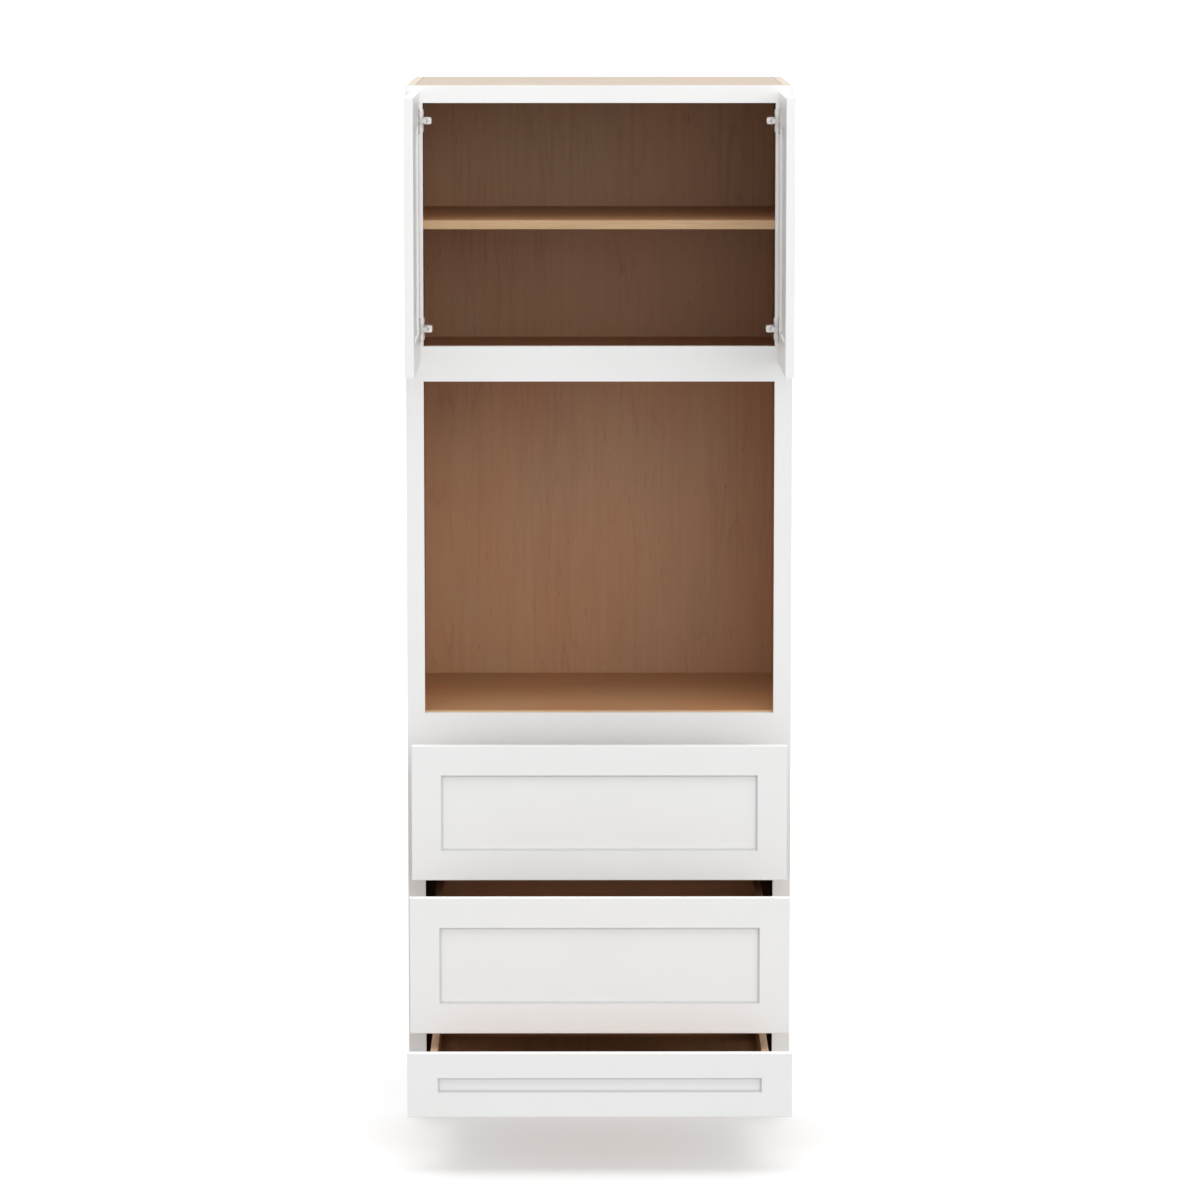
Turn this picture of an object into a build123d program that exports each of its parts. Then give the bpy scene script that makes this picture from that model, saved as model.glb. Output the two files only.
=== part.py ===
from build123d import *
from collections import namedtuple
from math import isclose, radians, tan
import os

os.makedirs("parts", exist_ok=True)

# Tall oven cabinet with a face frame, two doors, an open oven bay and three drawers
# Millimetres: X to the right, Y towards the wall behind the cabinet, Z up
# The origin is where the wall meets the floor, at the middle of the cabinet's width
# The doors stand open at a right angle and the drawers stand pulled out

# Cabinet outline
cabinet_width = 838.2
cabinet_depth = 609.6
toe_kick_height = 114.3
toe_kick_recess = 76.2

# Carcass panels
side_thickness = 18.0
floor_thickness = 18.0
toe_kick_thickness = 18.0
back_thickness = 12.7
dado_depth = 6.0
frame_overhang = 4.75

# Face frame, from the floor up
frame_thickness = 19.05
frame_stile_width = 38.1
bottom_rail_height = 38.1
drawer_rail_height = 38.1
lower_oven_rail_height = 76.2
oven_opening_height = 727.7
upper_oven_rail_height = 76.2
door_opening_height = 525.8
top_rail_height = 38.1

# Floors of the two compartments, against the top edges of the rails in front of them
oven_floor_rise = 3.4
door_floor_drop = 25.9

# Adjustable shelf and its pins
shelf_thickness = 19.05
shelf_side_gap = 1.5
shelf_end_gap = 2.0
pin_row_pitch = 32.0
pin_row_count = 5
shelf_row = 2
first_pin_height = 211.95
pin_column_inset = 50.0
pin_hole_depth = 10.0
pin_radius = 2.5
pin_fit = 0.05
pin_leaf_width = 9.0
pin_leaf_drop = 12.0
pin_leaf_thickness = 1.2
pin_tongue_length = 12.0
pin_tongue_thickness = 2.5

# Doors and drawer fronts: framed flat panels
front_thickness = 19.05
front_standoff = 3.0
front_overlay = 25.4
front_bottom_reveal = 12.7
front_gap = 6.35
lower_front_height = 138.1
middle_front_height = 295.3
upper_front_height = 295.3
upper_front_overlap = 26.4
door_height = 584.2
door_top_reveal = 14.0
door_gap = 3.2
member_width = 66.7
deep_rail_width = 68.0
shallow_rail_width = 56.5
panel_thickness = 6.35
panel_recess = 6.35
panel_float = 1.5
groove_depth = 9.5
groove_fit = 0.1
tenon_gap = 0.5
inner_bevel = 3.2
bevel_land = 1.0
front_edge_radius = 1.5
back_edge_radius = 2.0

# How far the three drawers stand pulled out
lower_drawer_pull = 460.0
middle_drawer_pull = 292.0
upper_drawer_pull = 120.0

# Drawer boxes
box_side_gap = 19.05
box_board_thickness = 16.0
box_lift = 15.5
box_bottom_recess = 13.0
box_bottom_thickness = 6.35
box_groove_depth = 6.0
upper_box_headroom = 34.3
middle_box_headroom = 44.85
lower_box_headroom = 10.3
dovetail_pitch = 25.4
dovetail_pin_width = 6.0
dovetail_angle = 8.0

# Undermount slides
slide_width = 34.0
slide_height = 13.0
slide_metal = 1.5
slide_play = 0.3
slide_rail_gap = 2.0
slide_side_gap = 4.0
middle_rail_setback = 2.0
middle_rail_end_gap = 4.0
runner_neck_width = 19.0
middle_rail_neck_gap = 1.0
cabinet_rail_neck_gap = 3.0
slide_tab_drop = 18.0
runner_notch_gap = 3.0
bracket_depth = 44.45
bracket_lap = 12.0
bracket_wall = 2.5
bracket_plate_thickness = 3.0
bracket_plate_half_width = 24.0
bracket_plate_reach = 20.0
catch_width = 36.0
catch_length = 42.0
catch_rail_gap = 1.5
catch_lever_width = 12.0
catch_lever_length = 18.0
catch_lever_thickness = 3.5

# Concealed door hinges
hinge_opening_inset = 38.1
hinge_pin_radius = 1.2
hinge_pin_fit = 0.05
hinge_pin_bearing = 1.2
hinge_pin_end_gap = 0.1
hinge_pin_setback = 4.75
cup_edge_wall = 4.0
cup_radius = 17.5
cup_depth = 13.0
cup_wall = 1.0
cup_cavity_half_height = 8.6
cup_bore_fit = 0.1
cup_flange_thickness = 1.5
cup_screw_offset = 9.5
cup_screw_spread = 22.5
cup_lobe_radius = 5.0
hinge_eye_wall = 0.85
hinge_eye_gap = 0.35
hinge_sheet = 1.6
hinge_neck_half_height = 4.5
hinge_neck_gap = 4.25
hinge_arm_half_height = 7.5
hinge_arm_reach = 17.35
hinge_arm_length = 33.5
hinge_arm_clearance = 1.05
hinge_arm_round = 4.0
plate_thickness = 2.0
plate_half_height = 24.5
plate_edge_gap = 1.0

# Screws
screw_radius = 1.75
screw_fit = 0.05
screw_head_radius = 3.2
screw_head_height = 1.2
plate_screw_length = 14.0
plate_screw_spread = 17.0
cup_screw_length = 11.0
slide_screw_length = 11.0
tab_screw_drop = 9.0
bracket_screw_spread = 13.0

# Levels of the fronts and of the face frame
frame_bottom = toe_kick_height
lower_front_bottom = frame_bottom + front_bottom_reveal
middle_front_bottom = lower_front_bottom + lower_front_height + front_gap
upper_front_bottom = middle_front_bottom + middle_front_height + front_gap
upper_front_top = upper_front_bottom + upper_front_height
bottom_rail_top = frame_bottom + bottom_rail_height
lower_drawer_rail_top = middle_front_bottom - front_gap / 2 + drawer_rail_height / 2
upper_drawer_rail_top = upper_front_bottom - front_gap / 2 + drawer_rail_height / 2
lower_oven_rail_bottom = upper_front_top - upper_front_overlap
lower_oven_rail_top = lower_oven_rail_bottom + lower_oven_rail_height
upper_oven_rail_bottom = lower_oven_rail_top + oven_opening_height
upper_oven_rail_top = upper_oven_rail_bottom + upper_oven_rail_height
top_rail_bottom = upper_oven_rail_top + door_opening_height
cabinet_height = top_rail_bottom + top_rail_height

# Levels of the carcass
bottom_panel_top = toe_kick_height + floor_thickness
oven_floor_top = lower_oven_rail_top + oven_floor_rise
door_floor_top = upper_oven_rail_top - door_floor_drop
top_panel_bottom = cabinet_height - floor_thickness
shelf_pin_level = door_floor_top + first_pin_height + shelf_row * pin_row_pitch
shelf_bottom = shelf_pin_level + pin_radius

# Places across and through the cabinet
frame_half = cabinet_width / 2
opening_half = frame_half - frame_stile_width
side_outer = frame_half - frame_overhang
side_inner = side_outer - side_thickness
frame_front = -cabinet_depth
frame_back = frame_front + frame_thickness
back_inner = -back_thickness
toe_kick_front = frame_front + toe_kick_recess
front_half = opening_half + front_overlay
closed_front_back = frame_front - front_standoff

# Slides and drawer boxes
slide_length = back_inner - frame_back - bracket_depth
slide_back = frame_back + slide_length
box_half = opening_half - box_side_gap
box_inner_half = box_half - box_board_thickness
slide_centre = box_inner_half - slide_side_gap - slide_width / 2
runner_height = box_lift + box_bottom_recess - slide_rail_gap

# Hinge places
cup_edge_distance = cup_edge_wall + cup_radius
hinge_pin_inset = cup_edge_wall + hinge_pin_setback
hinge_eye_radius = hinge_pin_radius + hinge_pin_fit + hinge_eye_wall
hinge_pin_half_length = cup_cavity_half_height + hinge_pin_bearing
hinge_pin_depth = cup_depth - cup_wall - hinge_eye_gap - hinge_eye_radius
hinge_pin_x = front_half - hinge_pin_inset
hinge_pin_y = closed_front_back - hinge_pin_depth
hinge_levels = (upper_oven_rail_top + hinge_opening_inset, top_rail_bottom - hinge_opening_inset)
door_width = front_half - door_gap / 2
door_bottom = cabinet_height - door_top_reveal - door_height

Drawer = namedtuple(
    "Drawer", "name front_bottom front_height rail_width opening_bottom box_height pull"
)
drawers = (
    Drawer(
        "upper_drawer",
        upper_front_bottom,
        upper_front_height,
        deep_rail_width,
        upper_drawer_rail_top,
        lower_oven_rail_bottom - upper_drawer_rail_top - box_lift - upper_box_headroom,
        upper_drawer_pull,
    ),
    Drawer(
        "middle_drawer",
        middle_front_bottom,
        middle_front_height,
        deep_rail_width,
        lower_drawer_rail_top,
        upper_drawer_rail_top
        - drawer_rail_height
        - lower_drawer_rail_top
        - box_lift
        - middle_box_headroom,
        middle_drawer_pull,
    ),
    Drawer(
        "lower_drawer",
        lower_front_bottom,
        lower_front_height,
        shallow_rail_width,
        bottom_rail_top,
        lower_drawer_rail_top - drawer_rail_height - bottom_rail_top - box_lift - lower_box_headroom,
        lower_drawer_pull,
    ),
)


def finish(piece, name):
    """Label a finished piece and write it as its own file."""
    piece.part.label = name
    export_step(piece.part, f"parts/{name}.step")


def slab(x_range, y_range, z_range, mode=Mode.ADD):
    """A rectangular block of the part being built, between two limits along each axis."""
    sizes = [abs(high - low) for low, high in (x_range, y_range, z_range)]
    centre = [(low + high) / 2 for low, high in (x_range, y_range, z_range)]
    with Locations(tuple(centre)):
        Box(*sizes, mode=mode)


def slide_level(drawer):
    """Height of the underside of a drawer's slides."""
    return drawer.opening_bottom + slide_rail_gap


# Side panels, notched for the toe kick, grooved for the floors and drilled for the shelf pins
def cut_shelf_pin_holes(side):
    columns = (frame_back + pin_column_inset, back_inner - pin_column_inset)
    rows = [door_floor_top + first_pin_height + row * pin_row_pitch for row in range(pin_row_count)]
    with BuildSketch(Plane.YZ.offset(side * side_inner)) as holes:
        with Locations(*[(column, row) for column in columns for row in rows]):
            Circle(pin_radius + pin_fit)
    extrude(holes.sketch, amount=side * pin_hole_depth, mode=Mode.SUBTRACT)


for hand, side in (("left", -1), ("right", 1)):
    with BuildPart() as side_panel:
        with BuildSketch(Plane.YZ.offset(side * side_outer)):
            Polygon(
                (0, 0),
                (0, cabinet_height),
                (frame_back, cabinet_height),
                (frame_back, toe_kick_height),
                (toe_kick_front, toe_kick_height),
                (toe_kick_front, 0),
                align=None,
            )
        extrude(amount=-side * side_thickness)
        for floor_top in (bottom_panel_top, oven_floor_top, door_floor_top):
            slab(
                (side * side_inner, side * (side_inner + dado_depth)),
                (frame_back, back_inner),
                (floor_top - floor_thickness, floor_top),
                mode=Mode.SUBTRACT,
            )
        cut_shelf_pin_holes(side)
    finish(side_panel, f"{hand}_side_panel")

# Top panel between the side panels, flush with their upper ends
with BuildPart() as top_panel:
    slab((-side_inner, side_inner), (frame_back, 0), (top_panel_bottom, cabinet_height))
finish(top_panel, "top_panel")

# Floors, let into the grooves of the side panels and butted against the back
for name, floor_top in (
    ("upper_compartment_floor", door_floor_top),
    ("oven_floor", oven_floor_top),
    ("bottom_panel", bottom_panel_top),
):
    with BuildPart() as floor:
        slab(
            (-side_inner - dado_depth, side_inner + dado_depth),
            (frame_back, back_inner),
            (floor_top - floor_thickness, floor_top),
        )
    finish(floor, name)

# Back panel between the side panels, drilled for the screws of the slide brackets
with BuildPart() as back_panel:
    slab((-side_inner, side_inner), (back_inner, 0), (0, top_panel_bottom))
    for drawer in drawers:
        level = slide_level(drawer)
        with BuildSketch(Plane.XZ.offset(-back_inner)):
            with Locations((0, level)):
                with GridLocations(2 * slide_centre, 2 * bracket_screw_spread, 2, 2):
                    Circle(screw_radius + screw_fit)
        extrude(amount=bracket_plate_thickness - slide_screw_length, mode=Mode.SUBTRACT)
finish(back_panel, "back_panel")

# Toe kick board between the side panels, under the bottom panel
with BuildPart() as toe_kick:
    slab(
        (-side_inner, side_inner),
        (toe_kick_front, toe_kick_front + toe_kick_thickness),
        (0, toe_kick_height),
    )
finish(toe_kick, "toe_kick")

# Adjustable shelf, a loose board on four pins
with BuildPart() as shelf:
    slab(
        (shelf_side_gap - side_inner, side_inner - shelf_side_gap),
        (frame_back + shelf_end_gap, back_inner - shelf_end_gap),
        (shelf_bottom, shelf_bottom + shelf_thickness),
    )
finish(shelf, "adjustable_shelf")

# Shelf pins: a peg in the side panel, a leaf flat against the panel and a tongue under the shelf
with BuildPart() as shelf_pins:
    for column in (frame_back + pin_column_inset, back_inner - pin_column_inset):
        across = (column - pin_leaf_width / 2, column + pin_leaf_width / 2)
        with BuildSketch(Plane.YZ.offset(side_inner)):
            with Locations((column, shelf_pin_level)):
                Circle(pin_radius)
        extrude(amount=pin_hole_depth)
        slab(
            (side_inner - pin_leaf_thickness, side_inner),
            across,
            (shelf_bottom - pin_leaf_drop, shelf_bottom),
        )
        slab(
            (side_inner - pin_tongue_length, side_inner),
            across,
            (shelf_bottom - pin_tongue_thickness, shelf_bottom),
        )
    mirror(about=Plane.YZ)
finish(shelf_pins, "shelf_pins")


# Face frame stiles, drilled in their inner edges for the screws of the hinge plates
for hand, side in (("left", -1), ("right", 1)):
    with BuildPart() as frame_stile:
        slab(
            (side * opening_half, side * frame_half),
            (frame_front, frame_back),
            (frame_bottom, cabinet_height),
        )
        for level in hinge_levels:
            with BuildSketch(Plane.YZ.offset(side * opening_half)):
                with Locations((frame_front + frame_thickness / 2, level)):
                    with GridLocations(0, 2 * plate_screw_spread, 1, 2):
                        Circle(screw_radius + screw_fit)
            extrude(amount=side * (plate_screw_length - plate_thickness), mode=Mode.SUBTRACT)
    finish(frame_stile, f"{hand}_frame_stile")


# Face frame rails between the stiles
def frame_rail(rail_bottom, rail_top):
    slab((-opening_half, opening_half), (frame_front, frame_back), (rail_bottom, rail_top))


def drill_slide_tab_holes(drawer):
    """Holes in the back of the rail under a drawer for the screws of its slides."""
    with BuildSketch(Plane.XZ.offset(-frame_back)) as holes:
        with Locations((0, slide_level(drawer) - tab_screw_drop)):
            with GridLocations(2 * slide_centre, 0, 2, 1):
                Circle(screw_radius + screw_fit)
    extrude(holes.sketch, amount=slide_screw_length - slide_metal, mode=Mode.SUBTRACT)


for name, rail_bottom, rail_top in (
    ("top_frame_rail", top_rail_bottom, cabinet_height),
    ("upper_oven_rail", upper_oven_rail_bottom, upper_oven_rail_top),
    ("lower_oven_rail", lower_oven_rail_bottom, lower_oven_rail_top),
):
    with BuildPart() as plain_rail:
        frame_rail(rail_bottom, rail_top)
    finish(plain_rail, name)

upper_drawer, middle_drawer, lower_drawer = drawers
with BuildPart() as drawer_rails:
    for drawer in (upper_drawer, middle_drawer):
        frame_rail(drawer.opening_bottom - drawer_rail_height, drawer.opening_bottom)
        drill_slide_tab_holes(drawer)
finish(drawer_rails, "drawer_frame_rails")

with BuildPart() as bottom_rail:
    frame_rail(frame_bottom, bottom_rail_top)
    drill_slide_tab_holes(lower_drawer)
finish(bottom_rail, "bottom_frame_rail")


# Framed fronts: each is worked out on the plane of its back, with its face along the plane's Z
def back_plane(centre, facing):
    return Plane(origin=centre, x_dir=Vector(0, 0, 1).cross(Vector(*facing)), z_dir=facing)


def member_section(width):
    """Section of a stile or rail: grooved inner edge at x = 0, back at y = 0, face at the top."""
    panel_face = front_thickness - panel_recess
    groove_top = panel_face + groove_fit
    groove_bottom = panel_face - panel_thickness - groove_fit
    Polygon(
        (0, 0),
        (0, groove_bottom),
        (groove_depth, groove_bottom),
        (groove_depth, groove_top),
        (0, groove_top),
        (0, panel_face + bevel_land),
        (inner_bevel, front_thickness),
        (width, front_thickness),
        (width, 0),
        align=None,
    )


def ease_outline(piece, plane, width, height):
    """Round the edges that run round the outside of a front, at its face and at its back."""

    def on_outline(edge, level):
        centre = plane.to_local_coords(edge.center())
        at_side = isclose(abs(centre.X), width / 2, abs_tol=0.01)
        at_end = isclose(abs(centre.Y), height / 2, abs_tol=0.01)
        return isclose(centre.Z, level, abs_tol=0.01) and (at_side or at_end)

    fillet(piece.edges().filter_by(lambda edge: on_outline(edge, front_thickness)), front_edge_radius)
    fillet(piece.edges().filter_by(lambda edge: on_outline(edge, 0)), back_edge_radius)


def square_stiles(plane, width, height):
    """The two upright members before their edges are eased."""
    opening = width / 2 - member_width
    corner = plane.from_local_coords((opening, height / 2, 0))
    with BuildPart() as stiles:
        with BuildSketch(Plane(origin=corner, x_dir=plane.x_dir, z_dir=-plane.y_dir)):
            member_section(member_width)
        extrude(amount=height)
        mirror(about=Plane(origin=plane.origin, x_dir=plane.y_dir, z_dir=plane.x_dir))
    return stiles.part


def eased_stiles(plane, width, height):
    stock = square_stiles(plane, width, height)
    with BuildPart() as stiles:
        add(stock)
        ease_outline(stiles, plane, width, height)
    return stiles


def eased_rails(plane, width, height, rail_width):
    """The two cross members, coped over the stiles' bevels, with tenons in the stiles' grooves."""
    stock = square_stiles(plane, width, height)
    half_length = width / 2 - member_width + groove_depth - tenon_gap
    corner = plane.from_local_coords((-half_length, height / 2 - rail_width, 0))
    with BuildPart() as rails:
        with BuildSketch(Plane(origin=corner, x_dir=plane.y_dir, z_dir=plane.x_dir)):
            member_section(rail_width)
        extrude(amount=2 * half_length)
        mirror(about=Plane(origin=plane.origin, x_dir=plane.x_dir, z_dir=plane.y_dir))
        add(stock, mode=Mode.SUBTRACT)
        ease_outline(rails, plane, width, height)
    return rails


def flat_panel(plane, width, height, rail_width):
    """The thin panel that floats in the grooves of the frame."""
    reach = 2 * (groove_depth - panel_float)
    with BuildPart() as panel:
        with BuildSketch(plane.offset(front_thickness - panel_recess)):
            Rectangle(width - 2 * member_width + reach, height - 2 * rail_width + reach)
        extrude(amount=-panel_thickness)
    return panel


def pan_screw(plane, shank_length):
    """A pan-head screw: its head stands on the plane and its shank runs against the plane's Z."""
    with BuildSketch(plane) as head:
        Circle(screw_head_radius)
    extrude(head.sketch, amount=screw_head_height)
    with BuildSketch(plane) as shank:
        Circle(screw_radius)
    extrude(shank.sketch, amount=-shank_length)


# Doors, open at a right angle about the hinge pins
door_back_x = hinge_pin_x - hinge_pin_depth
door_centre_y = hinge_pin_y + hinge_pin_inset - door_width / 2
door_centre_z = door_bottom + door_height / 2
for hand, side in (("left", -1), ("right", 1)):
    plane = back_plane((side * door_back_x, door_centre_y, door_centre_z), (side, 0, 0))
    cup_x = side * (door_width / 2 - cup_edge_distance)
    screw_x = cup_x - side * cup_screw_offset
    cup_levels = [level - door_centre_z for level in hinge_levels]
    screw_points = [
        (screw_x, level + way * cup_screw_spread) for level in cup_levels for way in (-1, 1)
    ]

    # Stiles; the hinge stile is bored for the cups and their screws
    plain_stiles = eased_stiles(plane, door_width, door_height)
    with BuildPart() as door_stiles:
        add(plain_stiles.part)
        with BuildSketch(plane):
            with Locations(*[(cup_x, level) for level in cup_levels]):
                Circle(cup_radius + cup_bore_fit)
        extrude(amount=cup_depth + cup_bore_fit, mode=Mode.SUBTRACT)
        with BuildSketch(plane):
            with Locations(*screw_points):
                Circle(screw_radius + screw_fit)
        extrude(amount=cup_screw_length - cup_flange_thickness, mode=Mode.SUBTRACT)
    finish(door_stiles, f"{hand}_door_stiles")

    # Rails and flat panel
    door_rails = eased_rails(plane, door_width, door_height, deep_rail_width)
    finish(door_rails, f"{hand}_door_rails")
    door_panel = flat_panel(plane, door_width, door_height, deep_rail_width)
    finish(door_panel, f"{hand}_door_panel")

    # Hinge cups: a drawn cup with a flange on the back of the door and cross holes for the pin
    pin_x = side * (door_width / 2 - hinge_pin_inset)
    with BuildPart() as hinge_cups:
        for level in cup_levels:
            with BuildSketch(plane.offset(-cup_flange_thickness)):
                with Locations((cup_x, level)):
                    Circle(cup_radius)
            extrude(amount=cup_flange_thickness + cup_depth)
            with BuildSketch(plane):
                with Locations((screw_x, level)):
                    SlotCenterToCenter(2 * cup_screw_spread, 2 * cup_lobe_radius, rotation=90)
            extrude(amount=-cup_flange_thickness)
            with BuildSketch(plane.offset(-cup_flange_thickness)):
                with Locations((cup_x, level)):
                    Circle(cup_radius - cup_wall)
                    Rectangle(2 * cup_radius, 2 * cup_cavity_half_height, mode=Mode.INTERSECT)
            extrude(amount=cup_flange_thickness + cup_depth - cup_wall, mode=Mode.SUBTRACT)
            hole_end = hinge_pin_half_length + hinge_pin_end_gap
            pin_base = plane.from_local_coords((pin_x, level - hole_end, hinge_pin_depth))
            with BuildSketch(Plane(origin=pin_base, z_dir=plane.y_dir)):
                Circle(hinge_pin_radius + hinge_pin_fit)
            extrude(amount=2 * hole_end, mode=Mode.SUBTRACT)
        with BuildSketch(plane):
            with Locations(*screw_points):
                Circle(screw_radius + screw_fit)
        extrude(amount=-cup_flange_thickness, mode=Mode.SUBTRACT)
    finish(hinge_cups, f"{hand}_hinge_cups")

    with BuildPart() as cup_screws:
        for x, y in screw_points:
            head = plane.from_local_coords((x, y, -cup_flange_thickness))
            pan_screw(Plane(origin=head, z_dir=-plane.z_dir), cup_screw_length)
    finish(cup_screws, f"{hand}_cup_screws")


# Hinge parts that stay on the face frame, made for the right-hand stile and mirrored
plate_x = opening_half - plate_thickness
arm_y = frame_front - hinge_arm_clearance
cup_far_wall = 2 * cup_radius - hinge_pin_setback - cup_wall
with BuildPart() as hinge_plates:
    for level in hinge_levels:
        slab(
            (plate_x, opening_half),
            (frame_front + plate_edge_gap, frame_back - plate_edge_gap),
            (level - plate_half_height, level + plate_half_height),
        )
        with BuildSketch(Plane.YZ.offset(plate_x)):
            with Locations((frame_front + frame_thickness / 2, level)):
                with GridLocations(0, 2 * plate_screw_spread, 1, 2):
                    Circle(screw_radius + screw_fit)
        extrude(amount=plate_thickness, mode=Mode.SUBTRACT)
    mirror(about=Plane.YZ)
finish(hinge_plates, "hinge_plates")

# Arms: a block on the plate, and a bent neck that ends in an eye round the pin inside the cup
with BuildPart() as hinge_arms:
    for level in hinge_levels:
        with BuildSketch(Plane.XZ.offset(-arm_y)) as arm_section:
            with Locations((plate_x - hinge_arm_reach / 2, level)):
                Rectangle(hinge_arm_reach, 2 * hinge_arm_half_height)
            fillet(arm_section.vertices().group_by(Axis.X)[0], hinge_arm_round)
        extrude(amount=-hinge_arm_length)
        neck_x = hinge_pin_x - cup_far_wall + hinge_neck_gap
        neck_front = hinge_pin_y - hinge_eye_radius
        with BuildSketch(Plane.XY.offset(level - hinge_neck_half_height)):
            with Locations((hinge_pin_x, hinge_pin_y)):
                Circle(hinge_eye_radius)
            Polygon(
                (hinge_pin_x, neck_front),
                (hinge_pin_x, neck_front + hinge_sheet),
                (neck_x + hinge_sheet, neck_front + hinge_sheet),
                (neck_x + hinge_sheet, arm_y),
                (neck_x, arm_y),
                (neck_x, neck_front),
                align=None,
            )
            with Locations((hinge_pin_x, hinge_pin_y)):
                Circle(hinge_pin_radius + hinge_pin_fit, mode=Mode.SUBTRACT)
        extrude(amount=2 * hinge_neck_half_height)
    mirror(about=Plane.YZ)
finish(hinge_arms, "hinge_arms")

with BuildPart() as hinge_pins:
    for level in hinge_levels:
        with BuildSketch(Plane.XY.offset(level - hinge_pin_half_length)):
            with Locations((hinge_pin_x, hinge_pin_y)):
                Circle(hinge_pin_radius)
        extrude(amount=2 * hinge_pin_half_length)
    mirror(about=Plane.YZ)
finish(hinge_pins, "hinge_pins")


# Slides, made on the right-hand side and mirrored
def channel_section(width, height, neck_gap):
    """Section of a rail on y = 0: a channel whose lips turn in towards the runner's neck."""
    with Locations((0, height / 2)):
        Rectangle(width, height)
        Rectangle(width - 2 * slide_metal, height - 2 * slide_metal, mode=Mode.SUBTRACT)
    with Locations((0, height)):
        Rectangle(runner_neck_width + 2 * neck_gap, 2 * slide_metal, mode=Mode.SUBTRACT)


def runner_section():
    """Section of a drawer's runner: a shallow channel with a box-shaped neck up to the drawer."""
    foot = slide_metal + slide_play
    foot_half = slide_width / 2 - 2 * foot
    foot_top = slide_height - 2 * foot
    floor = 2 * foot
    neck_half = runner_neck_width / 2
    Polygon(
        (foot_half, foot_top),
        (foot_half, floor),
        (-foot_half, floor),
        (-foot_half, foot_top),
        (slide_metal - foot_half, foot_top),
        (slide_metal - foot_half, floor + slide_metal),
        (-neck_half, floor + slide_metal),
        (-neck_half, runner_height),
        (neck_half, runner_height),
        (neck_half, floor + slide_metal),
        (foot_half - slide_metal, floor + slide_metal),
        (foot_half - slide_metal, foot_top),
        align=None,
    )
    hollow_height = runner_height - floor - 2 * slide_metal
    with Locations((0, floor + slide_metal + hollow_height / 2)):
        Rectangle(runner_neck_width - 2 * slide_metal, hollow_height, mode=Mode.SUBTRACT)


def slide_plane(drawer, y, lift=0):
    """Plane across a right-hand slide, facing forward, a lift above the slide's underside."""
    origin = (slide_centre, y, slide_level(drawer) + lift)
    return Plane(origin=origin, x_dir=(1, 0, 0), z_dir=(0, -1, 0))


# Fixed rails, screwed through a tab to the face frame and held by a bracket at the back
with BuildPart() as cabinet_rails:
    for drawer in drawers:
        level = slide_level(drawer)
        with BuildSketch(slide_plane(drawer, slide_back)):
            channel_section(slide_width, slide_height, cabinet_rail_neck_gap)
        extrude(amount=slide_length)
        slab(
            (slide_centre - slide_width / 2, slide_centre + slide_width / 2),
            (frame_back, frame_back + slide_metal),
            (level - slide_tab_drop, level),
        )
        with BuildSketch(Plane.XZ.offset(-frame_back)):
            with Locations((slide_centre, level - tab_screw_drop)):
                Circle(screw_radius + screw_fit)
        extrude(amount=-slide_metal, mode=Mode.SUBTRACT)
    mirror(about=Plane.YZ)
finish(cabinet_rails, "slide_cabinet_rails")

# Rear brackets: a tray that holds the end of the fixed rail, on a plate screwed to the back
with BuildPart() as rear_brackets:
    for drawer in drawers:
        level = slide_level(drawer)
        tray_half = slide_width / 2 + slide_play + bracket_wall
        slab(
            (slide_centre - tray_half, slide_centre + tray_half),
            (slide_back - bracket_lap, back_inner),
            (level - bracket_wall, level + slide_height),
        )
        slab(
            (slide_centre - tray_half + bracket_wall, slide_centre + tray_half - bracket_wall),
            (slide_back - bracket_lap, back_inner),
            (level, level + slide_height),
            mode=Mode.SUBTRACT,
        )
        slab(
            (slide_centre - bracket_plate_half_width, slide_centre + bracket_plate_half_width),
            (back_inner - bracket_plate_thickness, back_inner),
            (level - bracket_plate_reach, level + bracket_plate_reach),
        )
        with BuildSketch(Plane.XZ.offset(-back_inner)):
            with Locations((slide_centre, level)):
                with GridLocations(0, 2 * bracket_screw_spread, 1, 2):
                    Circle(screw_radius + screw_fit)
        extrude(amount=bracket_plate_thickness, mode=Mode.SUBTRACT)
    mirror(about=Plane.YZ)
finish(rear_brackets, "slide_rear_brackets")

# Screws of the hinge plates, of the slides' front tabs and of their rear brackets
with BuildPart() as mounting_screws:
    for level in hinge_levels:
        for way in (-1, 1):
            head = (plate_x, frame_front + frame_thickness / 2, level + way * plate_screw_spread)
            pan_screw(Plane(origin=head, z_dir=(-1, 0, 0)), plate_screw_length)
    for drawer in drawers:
        level = slide_level(drawer)
        head = (slide_centre, frame_back + slide_metal, level - tab_screw_drop)
        pan_screw(Plane(origin=head, z_dir=(0, 1, 0)), slide_screw_length)
        for way in (-1, 1):
            plate_front = back_inner - bracket_plate_thickness
            head = (slide_centre, plate_front, level + way * bracket_screw_spread)
            pan_screw(Plane(origin=head, z_dir=(0, -1, 0)), slide_screw_length)
    mirror(about=Plane.YZ)
finish(mounting_screws, "mounting_screws")


# Drawers
def box_tails(end_y, inward, low, height):
    """Sockets for the dovetails of the box sides, cut out of a front or back board's two ends."""
    count = max(1, round(height / dovetail_pitch))
    pitch = height / count
    spread = box_board_thickness * tan(radians(dovetail_angle))
    wide = (pitch - dovetail_pin_width) / 2
    for index in range(count):
        centre = low + (index + 0.5) * pitch
        with BuildSketch(Plane.YZ.offset(box_inner_half)) as tail:
            Polygon(
                (end_y, centre - wide),
                (end_y, centre + wide),
                (end_y + inward * box_board_thickness, centre + wide - spread),
                (end_y + inward * box_board_thickness, centre - wide + spread),
                align=None,
            )
        extrude(tail.sketch, amount=box_board_thickness, mode=Mode.SUBTRACT)


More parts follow.
